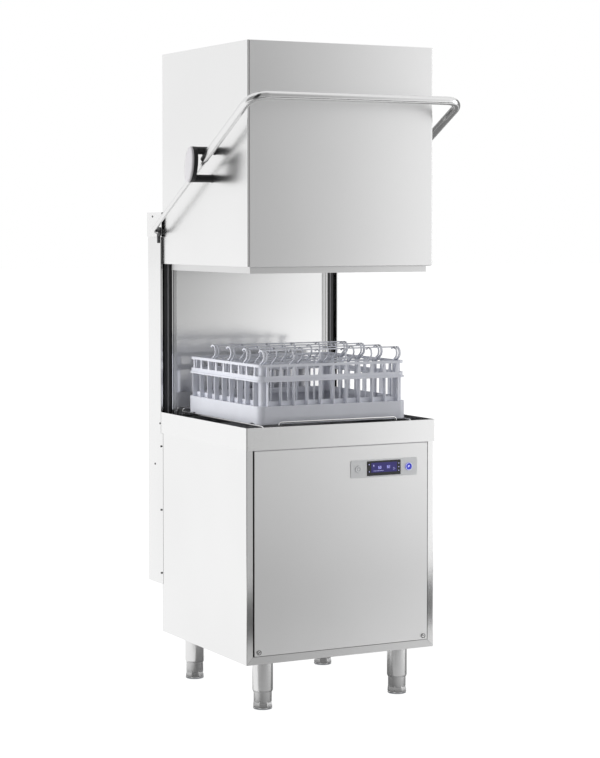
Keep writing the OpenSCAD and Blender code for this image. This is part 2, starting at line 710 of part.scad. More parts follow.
// Half of the rod behind the tube, turned inwards to the pivot, with a head that keeps it in its bush
module rod_half() {
    rod_x = arm_x - tube_r + rod_r + 0.6;
    curl = 20;
    rod_y = tube_len - 6;
    translate([rod_x, rod_y, 0]) rotate([-90, 0, 0]) cylinder(h = arm_len - curl - rod_y, r = rod_r);
    translate([rod_x - curl, arm_len - curl, 0]) rotate_extrude(angle = 90) translate([curl, 0]) circle(r = rod_r);
    translate([clip_x[0], arm_len, 0]) rotate([0, 90, 0]) cylinder(h = rod_x - curl - clip_x[0], r = rod_r);
    translate([clip_x[0], arm_len, 0]) rotate([0, 90, 0]) cylinder(h = clip_x[1] - clip_x[0], r = 9.5);
}

module handle_bar() color(steel) placed() translate([0, bar_y, bar_z]) rotate([-arm_angle, 0, 0]) difference() {
    both_sides() {
        tube_half(tube_r, tube_len);
        rod_half();
    }
    both_sides() tube_half(tube_r - sheet, tube_len - 8);
}

// ---- arms ----

// Wash arm with nozzles; up is 1 when it sprays upwards
module wash_arm(z, up) translate([0, spin_y, z]) difference() {
    union() {
        cylinder(h = 22, r = 26);
        block([-arm_r, arm_r], [-14, 14], [2, 20]);
        for (i = [0:4], s = [-1, 1]) translate([s * (50 + 40 * i), 0, up > 0 ? 19 : 0]) cylinder(h = 3.5, r = 6);
    }
    translate([0, 0, -1]) cylinder(h = 24, r = spigot_r + running);
    for (s = [-1, 1]) block(s > 0 ? [34, arm_r - 2] : [2 - arm_r, -34], [-12, 12], [4, 18]);
    block([-36, 36], [-5, 5], [7, 15]);
}

module rinse_arm(z, up) translate([0, spin_y, z]) difference() {
    union() {
        cylinder(h = 12, r = 14);
        translate([0, 0, 6]) rotate([0, 90, 0]) cylinder(h = 2 * arm_r - 10, r = 5, center = true);
        for (i = [0:3], s = [-1, 1]) translate([s * (60 + 48 * i), 0, up > 0 ? 6 : 0]) cylinder(h = 6, r = 3);
    }
    translate([0, 0, -1]) cylinder(h = 14, r = tip_r + running);
}

module upper_wash_arm() color(grey_plastic) placed() wash_arm(upper_hub - 23, 0);

module upper_rinse_arm() color(steel) placed() rinse_arm(upper_hub - 38, 0);

module lower_wash_arm() color(grey_plastic) placed() wash_arm(lower_hub + 1, 1);

module lower_rinse_arm() color(steel) placed() rinse_arm(lower_hub + 36, 1);

module pump_rotor() color(dark_steel) placed() {
    x_rod([-146, 108], pump_y, pump_z, 8);
    x_rod([-100, 20], pump_y, pump_z, 48);
    x_rod([82, 90], pump_y, pump_z, 56);
    for (a = [0:60:300]) translate([0, pump_y, pump_z]) rotate([a, 0, 0]) block([89, 102], [12, 52], [-2, 2]);
}

// Adjustable foot: sole, eight-sided flare for a spanner, sleeve and thread
module foot() {
    cylinder(h = 5, r = 28);
    translate([0, 0, 5]) cylinder(h = 9, r = 29.5, $fn = 8);
    translate([0, 0, 13]) cylinder(h = 10, r = 28.4, $fn = 8);
    translate([0, 0, 22]) cylinder(h = 88, r = 26.6);
    translate([0, 0, 109]) cylinder(h = 34, r = 8);
}

module foot_front_left() color(steel) placed() translate([-leg_x, leg_front_y, 0]) foot();

module foot_front_right() color(steel) placed() translate([leg_x, leg_front_y, 0]) foot();

module foot_rear_left() color(steel) placed() translate([-leg_x, leg_rear_y, 0]) foot();

module foot_rear_right() color(steel) placed() translate([leg_x, leg_rear_y, 0]) foot();

// ---- rack ----

// Closed ring of the rack's outline between two heights, set in from the outer face
module rack_ring(z, wall, inset = 0) translate([0, 0, z[0]]) difference() {
    w = rack_w - 2 * inset;
    linear_extrude(z[1] - z[0]) polygon(round_rect(w, w, corner_r - inset));
    translate([0, 0, -1]) linear_extrude(z[1] - z[0] + 2)
        polygon(round_rect(w - 2 * wall, w - 2 * wall, corner_r - inset - wall));
}

// Closed band, a ledge and low wall set back behind the fins, a mid rail, and a windowed wall above it
module rack() color(rack_blue) placed() translate([0, rack_y, rack_low]) {
    ledge = fin_deep + 3;
    difference() {
        rack_ring([0, rack_band], 3);
        for (s = [-1, 1], y = [-1, 1]) translate([s * half - 6, y * 204 - 11, -1]) cube([12, 22, 4.5]);
    }
    rack_ring([rack_band - 3, rack_band], ledge);
    rack_ring([rack_band - 1, low_wall], 3, fin_deep);
    rack_ring([mid_rail[0], mid_rail[1]], ledge);
    difference() {
        rack_ring([mid_rail[1] - 1, rack_h], 5, 4);
        for (q = [0, 180], i = [-4:3]) rotate([0, 0, q]) window((i + 0.5) * fin_side, fin_side);
        for (q = [90, 270], i = [-5:4]) rotate([0, 0, q]) window((i + 0.5) * fin_front, fin_front);
        for (x = [-1, 1], y = [-1, 1]) translate([x * (half + 12), y * (half + 5), (window_z[0] + window_z[1]) / 2])
            cube([80, 80, window_z[1] - window_z[0]], center = true);
    }
    intersection() {
        rack_ring([low_wall - 1, rack_h - 2], 3, fin_deep);
        for (x = [-1, 1], y = [-1, 1]) translate([x * half, y * half, 100]) cube([76, 76, 200], center = true);
    }
    for (q = [0, 180], i = [-4:4]) rotate([0, 0, q]) fin(fin_side * i);
    for (q = [90, 270], i = [-5:5]) rotate([0, 0, q]) fin(fin_front * i);
    for (i = [-5:5]) {
        translate([fin_front * i - 2, 3 - half, 4]) cube([4, rack_w - 6, 8]);
        translate([3 - half, fin_front * i - 2, 4]) cube([rack_w - 6, 4, 8]);
    }
}

// Upright fin between the band and the mid rail
module fin(at) translate([half - fin_deep, at - 1.5, rack_band - 2]) cube([fin_deep, 3, mid_rail[0] - rack_band + 3]);

// Window in the upper wall, narrower at its foot
module window(at, pitch) {
    w = pitch / 2 - 3;
    translate([half - 12, at, 0]) rotate([90, 0, 90]) linear_extrude(14)
        polygon([[-w, window_z[1]], [3 - w, window_z[0]], [w - 3, window_z[0]], [w, window_z[1]]]);
}

// Rows of the insert: a foot rail, posts with hooked heads, a lower rail and a thin rail on top
module rack_inserts() color(rack_blue) placed() translate([0, rack_y, rack_low]) for (y = row_y) translate([0, y, 0]) {
    end = half - 18;
    along_x([4 - half, half - 4], [[-2, 12], [2, 12], [2, 22], [-2, 22]]);
    along_x([-end, end], [[-2, 166], [2, 166], [2, 172], [-2, 172]]);
    along_x([-end, end], [[-22, 213.5], [-12, 213.5], [-12, 217], [-22, 217]]);
    for (x = [-5:2:5]) along_x([fin_front * x - 2, fin_front * x + 2], hook);
    for (s = [-1, 1]) along_x([s * (end - 3) - 3, s * (end - 3) + 3], hook);
}

// Outline in Y and Z, drawn out along X
module along_x(x, outline) translate([x[0], 0, 0]) rotate([90, 0, 90]) linear_extrude(x[1] - x[0]) polygon(outline);

// Arc of the hook's head, forwards or backwards
function curl(r, way = 1) = [for (i = [0:6]) let (a = way > 0 ? 250 - 35 * i : 40 + 35 * i)
    [-20 + r * cos(a), 198 + r * sin(a)]];

// Outline of a post whose head curls forwards
hook = concat([[2, 12], [-2, 12], [-2, 163]], curl(20), curl(16, -1), [[2, 168]]);

base_frame();
side_panel_left();
side_panel_right();
rear_panel();
front_panel();
rim();
tank_deck();
wash_tank();
tank_filters();
heating_elements();
arm_hubs();
riser_pipes();
rinse_pipes();
wash_pump();
rinse_boiler();
drain_pump();
dosing_pumps();
control_box();
water_inlet();
drain_outlet();
cable_gland();
column_sides();
rear_cover();
column_cap();
splash_back();
guide_rails();
gas_struts();
pivot_bushes();
legs();
rack_guide();
control_bezel();
display();
cover_screws();
hood_front();
hood_left();
hood_right();
hood_top();
hood_liner();
hood_carriages();
hood_sliders();
strut_rods();
handle_guides();
guide_caps();
badge_plate();
handle_bar();
upper_wash_arm();
upper_rinse_arm();
lower_wash_arm();
lower_rinse_arm();
pump_rotor();
power_button();
start_button();
panel_lock_left();
panel_lock_right();
foot_front_left();
foot_front_right();
foot_rear_left();
foot_rear_right();
rack();
rack_inserts();
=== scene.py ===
"""Looks for the pass-through hood dishwasher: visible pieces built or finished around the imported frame."""
import json
import math

import bmesh
import bpy
from mathutils import Matrix, Quaternion, Vector


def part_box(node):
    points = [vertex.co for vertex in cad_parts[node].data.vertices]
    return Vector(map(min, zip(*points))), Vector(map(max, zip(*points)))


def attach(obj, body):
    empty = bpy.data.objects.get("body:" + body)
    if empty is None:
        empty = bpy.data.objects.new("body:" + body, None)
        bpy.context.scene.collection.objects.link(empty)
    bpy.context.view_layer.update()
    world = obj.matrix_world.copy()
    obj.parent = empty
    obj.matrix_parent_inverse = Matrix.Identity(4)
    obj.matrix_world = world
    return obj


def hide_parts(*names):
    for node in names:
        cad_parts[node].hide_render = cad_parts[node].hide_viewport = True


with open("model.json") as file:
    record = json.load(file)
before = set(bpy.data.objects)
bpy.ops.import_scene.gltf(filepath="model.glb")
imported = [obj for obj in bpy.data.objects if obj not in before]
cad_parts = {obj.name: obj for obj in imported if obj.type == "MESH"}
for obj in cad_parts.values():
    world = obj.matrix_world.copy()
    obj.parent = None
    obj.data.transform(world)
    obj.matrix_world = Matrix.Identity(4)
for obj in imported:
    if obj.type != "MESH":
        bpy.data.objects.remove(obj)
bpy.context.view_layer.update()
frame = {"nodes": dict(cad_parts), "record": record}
NODES = frame["nodes"]
RECORD = frame["record"]
BODY_OF = {n: b for b, ns in RECORD["behaviour"]["bodies"].items() for n in ns}
SLOT_OF = {s["node"]: s["material_slot"] for s in RECORD["subparts"]}
JOINTS = {j["name"]: j for j in RECORD["behaviour"]["joints"]}

# Machine axes are millimetres: x from the middle, y from the cabinet's front, z up from the floor
MM = 0.001
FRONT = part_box("side_panel_left")[0].y / MM


def at(x, y, z):
    """A place in machine axes, as a point of the frame in metres."""
    return Vector((x, y + FRONT, z)) * MM


def limits(node):
    """A node's lowest and highest corners in machine axes."""
    return [Vector((c.x / MM, c.y / MM - FRONT, c.z / MM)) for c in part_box(node)]


# ---------------------------------------------------------------- materials

def shader(name):
    m = bpy.data.materials.new(name)
    m.use_nodes = True
    return m, m.node_tree, m.node_tree.nodes["Principled BSDF"]


def node(nt, kind, **values):
    """A shader node with its sockets or settings given by name."""
    n = nt.nodes.new(kind)
    for k, v in values.items():
        key = k.replace("_", " ")
        if key in n.inputs:
            n.inputs[key].default_value = v
        else:
            setattr(n, k, v)
    return n


def stretched(nt, scale):
    co = node(nt, "ShaderNodeTexCoord")
    mp = node(nt, "ShaderNodeMapping", Scale=scale)
    nt.links.new(co.outputs["Object"], mp.inputs["Vector"])
    return mp.outputs["Vector"]


def noise(nt, stretch, scale, detail=3.0, rough=0.5):
    n = node(nt, "ShaderNodeTexNoise", Scale=scale, Detail=detail, Roughness=rough)
    nt.links.new(stretched(nt, stretch), n.inputs["Vector"])
    return n.outputs["Fac"]


def between(nt, fac, low, high):
    """Maps a noise to a range, with its contrast drawn out."""
    r = node(nt, "ShaderNodeMapRange", From_Min=0.3, From_Max=0.7, To_Min=low, To_Max=high)
    nt.links.new(fac, r.inputs["Value"])
    return r.outputs["Result"]


def tint(nt, fac, dark, light):
    r = node(nt, "ShaderNodeValToRGB")
    ends = r.color_ramp.elements
    ends[0].position, ends[0].color = 0.3, (*dark, 1)
    ends[1].position, ends[1].color = 0.7, (*light, 1)
    nt.links.new(fac, r.inputs["Fac"])
    return r.outputs["Color"]


def bump(nt, bsdf, height, strength, distance=0.0003):
    b = node(nt, "ShaderNodeBump", Strength=strength, Distance=distance)
    nt.links.new(height, b.inputs["Height"])
    nt.links.new(b.outputs["Normal"], bsdf.inputs["Normal"])


def brushed(name, tone, rough, grain=(60, 60, 1), spread=0.04, wear=0.03, fine=420):
    """Stainless steel: fine grain drawn out along one axis, over slow changes in tone and gloss."""
    m, nt, b = shader(name)
    lines = noise(nt, grain, fine, 4, 0.65)
    slow = noise(nt, (1, 1, 1), 2.2, 2)
    mix = node(nt, "ShaderNodeMix", data_type="FLOAT", Factor=0.4)
    nt.links.new(lines, mix.inputs["A"])
    nt.links.new(slow, mix.inputs["B"])
    both = mix.outputs["Result"]
    dark, light = tone - wear, tone + wear
    nt.links.new(tint(nt, both, (dark, dark, dark), (light, light, light)), b.inputs["Base Color"])
    nt.links.new(between(nt, both, rough - spread, rough + spread), b.inputs["Roughness"])
    b.inputs["Metallic"].default_value = 1.0
    bump(nt, b, lines, 0.05)
    return m


def moulded(name, colour, rough, grain=900, strength=0.1, mottle=0.04, glow=None):
    """Moulded plastic: fine grain in the surface and a slight mottle in the colour."""
    m, nt, b = shader(name)
    g = noise(nt, (1, 1, 1), grain, 3, 0.6)
    s = noise(nt, (1, 1, 1), 14, 2)
    dark = tuple(c * (1 - mottle) for c in colour)
    light = tuple(min(1, c * (1 + mottle)) for c in colour)
    nt.links.new(tint(nt, s, dark, light), b.inputs["Base Color"])
    nt.links.new(between(nt, g, rough - 0.05, rough + 0.05), b.inputs["Roughness"])
    bump(nt, b, g, strength, 0.0002)
    if glow:
        b.inputs["Emission Color"].default_value = (*glow[0], 1)
        b.inputs["Emission Strength"].default_value = glow[1]
    return m


MAT = {
    "panel": brushed("steel_panel", 0.82, 0.25),
    "front": brushed("steel_front", 0.82, 0.30, (1, 60, 60)),
    "fold": brushed("steel_fold", 0.775, 0.14),
    "rim": brushed("steel_rim", 0.80, 0.26),
    "service": brushed("steel_service", 0.82, 0.38, (1, 60, 60)),
    "inner": brushed("steel_inner", 0.70, 0.34, (60, 60, 1), 0.06, 0.05),
    "deck": brushed("steel_deck", 0.22, 0.30, (60, 1, 60), 0.06, 0.05),
    "splash": brushed("steel_splash", 0.78, 0.15, (1, 60, 60)),
    "tube": brushed("steel_tube", 0.74, 0.20, (60, 8, 8)),
    "wire": brushed("steel_wire", 0.86, 0.12, (8, 8, 8)),
    "pipe": brushed("steel_pipe", 0.72, 0.24, (8, 8, 40)),
    "screw": brushed("steel_screw", 0.22, 0.25, (8, 8, 8)),
    "black": moulded("black_plastic", (0.016, 0.016, 0.018), 0.42),
    "rail": moulded("black_rail", (0.010, 0.010, 0.011), 0.34, 600),
    # Black for the strips in the service panel's side gaps: painted shade standing in for the shadow in the
    # gaps.
    "gap_shade": moulded("painted_gap_shade", (0.010, 0.010, 0.011), 0.85, 600),
    # Lighter grey for the bar down each black rail: painted highlight.
    "highlight_bar": moulded("painted_rail_highlight", (0.24, 0.24, 0.25), 0.30, 600),
    # Darker steel for the strips beside each rail: painted shade.
    "rail_side_shade": brushed("painted_shade_steel", 0.52, 0.24, (60, 60, 1)),
    "grey": moulded("grey_plastic", (0.30, 0.31, 0.33), 0.5),
    "cap": moulded("cap_plastic", (0.62, 0.61, 0.63), 0.38, 1200, 0.05, 0.02),
    "bezel": moulded("bezel_plastic", (0.80, 0.81, 0.82), 0.36, 1200, 0.04, 0.01),
    "foot": brushed("steel_foot", 0.60, 0.42, (8, 8, 40)),
    "rack": moulded("rack_plastic", (0.74, 0.755, 0.82), 0.30, 700, 0.08, 0.03),
    "screen": moulded("display_frame", (0.012, 0.012, 0.015), 0.14, 1500, 0.02, 0.02),
    "lcd": moulded("display_glow", (0.01, 0.008, 0.06), 0.3, 1500, 0.02, 0.05, ((0.024, 0.018, 0.14), 0.7)),
    "digit": moulded("display_digit", (0.5, 0.5, 0.8), 0.3, 1500, 0.02, 0.02, ((0.50, 0.50, 0.95), 0.5)),
    "blue": moulded("button_blue", (0.03, 0.05, 0.50), 0.22, 1500, 0.02, 0.05, ((0.05, 0.05, 0.42), 0.5)),
    "ring": moulded("button_ring", (0.7, 0.7, 0.9), 0.3, 1500, 0.02, 0.02, ((0.62, 0.62, 0.9), 0.75)),
    "brass": brushed("brass_fitting", 0.6, 0.3),
}
LOOK = {"sheet_steel": "panel", "inner_steel": "inner", "wire_steel": "wire", "tube_steel": "tube",
        "black_plastic": "black", "grey_plastic": "grey", "light_plastic": "cap", "rack_plastic": "rack",
        "display_black": "screen", "button_blue": "blue", "brass_fitting": "brass"}
NODE_LOOK = {"splash_back": "splash", "guide_rails": "rail", "riser_pipes": "pipe", "rinse_pipes": "pipe",
             "tank_deck": "deck", "front_panel": "service", "hood_front": "front", "cover_screws": "screw",
             "panel_lock_left": "pipe", "panel_lock_right": "pipe", "control_bezel": "bezel"}


def look_of(name):
    return NODE_LOOK.get(name, LOOK[SLOT_OF[name]])


for name, cad in NODES.items():
    for s in cad.material_slots:
        s.material = MAT[look_of(name)]

# ---------------------------------------------------------------- mesh helpers

ARC_STEPS = 8
SMOOTH_BELOW = math.radians(35)


def rounded(points, radius, steps=ARC_STEPS):
    """The points of a path whose inner corners are turned into arcs."""
    points = [Vector(p) for p in points]
    out = [points[0]]
    for a, b, c in zip(points, points[1:], points[2:]):
        u, v = (a - b).normalized(), (c - b).normalized()
        half = u.angle(v) / 2
        centre = b + (u + v).normalized() * (radius / math.sin(half))
        start = b + u * (radius / math.tan(half)) - centre
        axis = (b - a).cross(c - b).normalized()
        turn = math.pi - 2 * half
        out += [centre + Quaternion(axis, turn * i / steps) @ start for i in range(steps + 1)]
    return out + [points[-1]]


def settled(obj, bevel=0.0):
    """Bevels sharp edges, evens the normals and keeps the result as the object's mesh."""
    me = obj.data
    me.polygons.foreach_set("use_smooth", [True] * len(me.polygons))
    me.set_sharp_from_angle(angle=SMOOTH_BELOW)
    if bevel:
        b = obj.modifiers.new("bevel", "BEVEL")
        b.width, b.segments, b.limit_method, b.angle_limit = bevel * MM, 2, "ANGLE", math.radians(40)
        b.harden_normals = True
    w = obj.modifiers.new("normals", "WEIGHTED_NORMAL")
    w.keep_sharp = True
    done = bpy.data.meshes.new_from_object(obj.evaluated_get(bpy.context.evaluated_depsgraph_get()))
    obj.modifiers.clear()
    obj.data = done
    bpy.data.meshes.remove(me)
    done.name = obj.name


def piece(name, bm, look, stands_for, body=None, bevel=0.0):
    """Turns a bmesh into a piece that rides with, and replaces, the CAD nodes that it stands for."""
    bmesh.ops.recalc_face_normals(bm, faces=bm.faces)
    me = bpy.data.meshes.new(name)
    bm.to_mesh(me)
    bm.free()
    obj = bpy.data.objects.new(name, me)
    bpy.context.scene.collection.objects.link(obj)
    me.materials.append(MAT[look])
    settled(obj, bevel)
    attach(obj, body or BODY_OF[stands_for[0]])
    if body is None:
        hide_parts(*stands_for)
    return obj


def trim(name, bm, look, beside, bevel=0.0):
    """A small visible piece that replaces nothing and rides with the CAD node that it is fixed to."""
    return piece(name, bm, look, [beside], body=BODY_OF[beside], bevel=bevel)


def softened(name, bevel):
    """A CAD node's own shape with its edges rounded."""
    bm = bmesh.new()
    bm.from_mesh(NODES[name].data)
    bmesh.ops.remove_doubles(bm, verts=bm.verts, dist=0.002 * MM)
    bmesh.ops.dissolve_limit(bm, angle_limit=math.radians(0.5), verts=bm.verts, edges=bm.edges)
    return piece(name + "_soft", bm, look_of(name), [name], bevel=bevel)


def prism(bm, ring, shift):
    """Closes a flat ring of points and draws it out by a shift."""
    low = [bm.verts.new(p) for p in ring]
    high = [bm.verts.new(p + shift) for p in ring]
    bm.faces.new(low)
    bm.faces.new(high)
    n = len(ring)
    for i in range(n):
        bm.faces.new((low[i], low[(i + 1) % n], high[(i + 1) % n], high[i]))


def folded(bm, path, thick, radius, place, shift):
    """Sheet bent along a path of (u, v) points; place puts a point in machine axes, shift draws it out."""
    outer = rounded([(u, v, 0) for u, v in path], radius)
    inner = []
    for i, p in enumerate(outer):
        before = (p - outer[i - 1]).normalized() if i else (outer[1] - p).normalized()
        after = (outer[i + 1] - p).normalized() if i + 1 < len(outer) else before
        n = Vector((-before.y - after.y, before.x + after.x, 0)).normalized()
        inner.append(p + n * thick / max(0.2, n.dot(Vector((-before.y, before.x, 0)))))
    ring = [place(p.x, p.y) for p in outer + inner[::-1]]
    prism(bm, ring, Vector(shift) * MM)


def swept(bm, path, radius, sides=24):
    """Round bar along a path of frame points; radius is one number or one for each point, in millimetres."""
    radii = radius if isinstance(radius, list) else [radius] * len(path)
    last = len(path) - 1
    tangents = [(path[min(i + 1, last)] - path[max(i - 1, 0)]).normalized() for i in range(last + 1)]
    side = tangents[0].orthogonal().normalized()
    rings = []
    for p, t, r in zip(path, tangents, radii):
        side = (side - t * side.dot(t)).normalized()
        up = t.cross(side)
        turns = [2 * math.pi * k / sides for k in range(sides)]
        rings.append([bm.verts.new(p + (side * math.cos(a) + up * math.sin(a)) * r * MM) for a in turns])
    for a, b in zip(rings, rings[1:]):
        for k in range(sides):
            bm.faces.new((a[k], a[(k + 1) % sides], b[(k + 1) % sides], b[k]))
    bm.faces.new(rings[0])
    bm.faces.new(rings[-1])


def turned(bm, origin, axis, profile, sides=48):
    """Solid turned on an axis from (radius, height) points; a radius of 0 closes an end."""
    axis = Vector(axis)
    side = axis.orthogonal().normalized()
    up = axis.cross(side)
    rings = []
    for r, h in profile:
        c = origin + axis * h * MM
        turns = [2 * math.pi * k / sides for k in range(sides)]
        rings.append([bm.verts.new(c)] if r == 0 else
                     [bm.verts.new(c + (side * math.cos(a) + up * math.sin(a)) * r * MM) for a in turns])
    for a, b in zip(rings, rings[1:]):
        for k in range(sides):
            j = (k + 1) % sides
            if len(a) == 1:
                bm.faces.new((a[0], b[j], b[k]))
            elif len(b) == 1:
                bm.faces.new((a[k], a[j], b[0]))
            else:
                bm.faces.new((a[k], a[j], b[j], b[k]))


def box(bm, x, y, z):
    """Box between pairs of limits in machine axes."""
    ring = [at(x[i], y[j], z[0]) for i, j in ((0, 0), (1, 0), (1, 1), (0, 1))]
    prism(bm, ring, Vector((0, 0, (z[1] - z[0]) * MM)))


def cut(bm, point, normal):
    """Cuts away what lies beyond a plane and closes the cut."""
    geom = bm.verts[:] + bm.edges[:] + bm.faces[:]
    done = bmesh.ops.bisect_plane(bm, geom=geom, plane_co=point, plane_no=normal, clear_outer=True)
    edges = [e for e in done["geom_cut"] if isinstance(e, bmesh.types.BMEdge)]
    bmesh.ops.holes_fill(bm, edges=edges, sides=0)


# ---------------------------------------------------------------- hood and cabinet skins

FOLD_R = 2.6
FLANGE_R = 3.2
RIM_R = 4.2
SHEET = 1.5
SEAM = 0.3
CORNER_RETURN = 6.0
REAR_RETURN = 18
HEM = 14
FLANGE_LOW = 23.5
HEM_LOW = 838
LAP_LEN = 40


def hood_skins():
    """Side skins folded round the front corners, with the front sheet let in between them."""
    lo, hi = limits("hood_right")
    front_lo, front_hi = limits("hood_front")
    rise = (0, 0, hi.z - lo.z)
    for s, name in ((-1, "hood_left"), (1, "hood_right")):
        bm = bmesh.new()
        path = [(hi.x - CORNER_RETURN, front_lo.y), (hi.x, front_lo.y), (hi.x, hi.y),
                (hi.x - REAR_RETURN, hi.y)]
        folded(bm, path, SHEET, FOLD_R, lambda x, y: at(s * x, y, lo.z), rise)
        box(bm, sorted((s * (hi.x - HEM), s * (hi.x - SHEET))), (HEM + 0.6, 556), (lo.z, lo.z + SHEET))
        piece(name + "_skin", bm, "panel", [name])
    bm = bmesh.new()
    x = hi.x - CORNER_RETURN - SEAM
    folded(bm, [(HEM, lo.z), (front_lo.y, lo.z), (front_lo.y, front_hi.z)], SHEET, 2.0,
           lambda y, z: at(-x, y, z), (2 * x, 0, 0))
    piece("hood_front_skin", bm, "front", ["hood_front"])


def cabinet_sides():
    """Side panels folded to mitred front flanges."""
    sill = limits("base_frame")[0].z
    for s, name in ((-1, "side_panel_left"), (1, "side_panel_right")):
        lo, hi = limits(name)
        x = max(abs(lo.x), abs(hi.x))
        flange = min(abs(lo.x), abs(hi.x))
        bm = bmesh.new()
        path = [(flange, 0), (x, 0), (x, hi.y), (x - 20, hi.y)]
        folded(bm, path, SHEET, FLANGE_R, lambda u, v: at(s * u, v, lo.z), (0, 0, hi.z - lo.z))
        mitre = Vector((-s * FLANGE_LOW, 0, flange - x))
        cut(bm, at(s * x, 0, sill - 2 * SEAM), mitre)
        piece(name + "_skin", bm, "fold", [name])


def rim_band():
    """Band folded round the front corners over its bottom flange."""
    lo, hi = limits("rim")
    bm = bmesh.new()
    path = [(lo.x, hi.y), (lo.x, lo.y), (hi.x, lo.y), (hi.x, hi.y)]
    folded(bm, path, SHEET, RIM_R, lambda x, y: at(x, y, lo.z), (0, 0, hi.z - lo.z))
    box(bm, (lo.x + SHEET, hi.x - SHEET), (lo.y + SHEET, HEM), (lo.z, lo.z + SHEET))
    for s in (-1, 1):
        box(bm, sorted((s * (hi.x - REAR_RETURN), s * (hi.x - SHEET))), (HEM, hi.y), (lo.z, lo.z + SHEET))
    piece("rim_skin", bm, "rim", ["rim"])


def column_covers():
    """Side covers with a hem above the rim and, below it, a lap that closes onto the cabinet."""
    lo, hi = limits("column_sides")
    body = limits("side_panel_right")[1]
    lap_top = limits("rim")[0].z - 1
    front = body.y + 2
    bm = bmesh.new()
    for s in (-1, 1):
        upper = [(hi.x - 7, front), (hi.x, front), (hi.x, hi.y)]
        folded(bm, upper, SHEET, 2.0, lambda x, y: at(s * x, y, HEM_LOW), (0, 0, hi.z - HEM_LOW))
        middle = [(hi.x, body.y), (hi.x, hi.y)]
        folded(bm, middle, SHEET, 1.0, lambda x, y: at(s * x, y, lap_top), (0, 0, 69))
        lap = [(body.x + 0.5, lo.y), (hi.x, lo.y + LAP_LEN), (hi.x, hi.y)]
        folded(bm, lap, 0.4, 4.0, lambda x, y: at(s * x, y, lo.z), (0, 0, lap_top - lo.z))
    piece("column_side_covers", bm, "fold", ["column_sides"])


hood_skins()
cabinet_sides()
rim_band()
column_covers()
for name, bevel in (("base_frame", 0.5), ("front_panel", 0.6), ("hood_top", 0.5), ("hood_liner", 0.35),
                    ("column_cap", 0.6), ("rear_cover", 0.5), ("rear_panel", 0.4),
                    ("splash_back", 0.6), ("guide_rails", 0.8), ("tank_deck", 0.5), ("pivot_bushes", 0.8),
                    ("control_bezel", 0.5), ("rack", 0.45), ("rack_inserts", 0.5),
                    ("panel_lock_left", 0.3), ("panel_lock_right", 0.3)):
    softened(name, bevel)

# ---------------------------------------------------------------- handle

TUBE_R = 12.5
ROD_R = 7.5
ARM_X = 347.5
ARM_ANGLE = math.radians(28.4)
ARM_LEN = 815
TUBE_LEN = 365
BEND_R = 50
ROD_BEND_R = 20
ROD_END_X = 312
PIVOT = Vector(JOINTS["handle_swing"]["pos_m"])


def on_handle(x, along):
    """A place on the raised handle: across, and the distance back from the grip bar."""
    back = (ARM_LEN - along) * MM
    return PIVOT + Vector((x * MM, -back * math.cos(ARM_ANGLE), back * math.sin(ARM_ANGLE)))


def handle():
    """Bent tube with rounded ends, and the thinner rods that run on to the pivots."""
    bm = bmesh.new()
    straight = TUBE_LEN - 3
    corners = [on_handle(s * ARM_X, y) for s, y in ((-1, straight), (-1, 0), (1, 0), (1, straight))]
    path = rounded(corners, BEND_R * MM, 14)
    caps = [(TUBE_R - 1.6, 3), (TUBE_R - 0.6, 2.7), (TUBE_R - 0.1, 1.9)]
    ends = [[on_handle(s * ARM_X, straight + h) for r, h in caps] for s in (-1, 1)]
    radii = [r for r, h in caps]
    swept(bm, ends[0] + path + ends[1][::-1], radii + [TUBE_R] * len(path) + radii[::-1], 32)
    rod_x = ARM_X - TUBE_R + ROD_R + 0.6
    collar = [(0, 0), (8.8, 0), (9.5, 0.5), (9.5, 1.8), (0, 1.8)]
    for s in (-1, 1):
        rod = [on_handle(s * rod_x, TUBE_LEN - 12), on_handle(s * rod_x, ARM_LEN),
               on_handle(s * ROD_END_X, ARM_LEN)]
        swept(bm, rounded(rod, ROD_BEND_R * MM), ROD_R, 24)
        turned(bm, on_handle(s * (ROD_END_X - 1.6), ARM_LEN), (s, 0, 0), collar)
    piece("handle_tube", bm, "tube", ["handle_bar"])


GUIDE_Y = 231
GUIDE_Z = 1601
GUIDE_TILT = Matrix.Rotation(math.radians(13), 3, "X")
OVAL = (27.5, 54)
OVAL_SIDES = 56
PLATE_THICK = 14
PRONG_R = 11.5
PRONG_GAP = 84


def oval_ring(inset_y, inset_z, x):
    """Points of the handle guide's oval, drawn in by insets, at a distance from the middle plane."""
    a, b = OVAL[0] - inset_y, OVAL[1] - inset_z
    turns = [2 * math.pi * i / OVAL_SIDES for i in range(OVAL_SIDES)]
    points = [Vector((x, a * math.cos(t), b * math.sin(t))) for t in turns]
    return [at(0, GUIDE_Y, GUIDE_Z) + GUIDE_TILT @ p * MM for p in points]


def lofted(bm, rings):
    """Skin over rings of points, closed at both ends."""
    made = [[bm.verts.new(p) for p in ring] for ring in rings]
    for a, b in zip(made, made[1:]):
        for i in range(len(a)):
            j = (i + 1) % len(a)
            bm.faces.new((a[i], a[j], b[j], b[i]))
    bm.faces.new(made[0])
    bm.faces.new(made[-1])


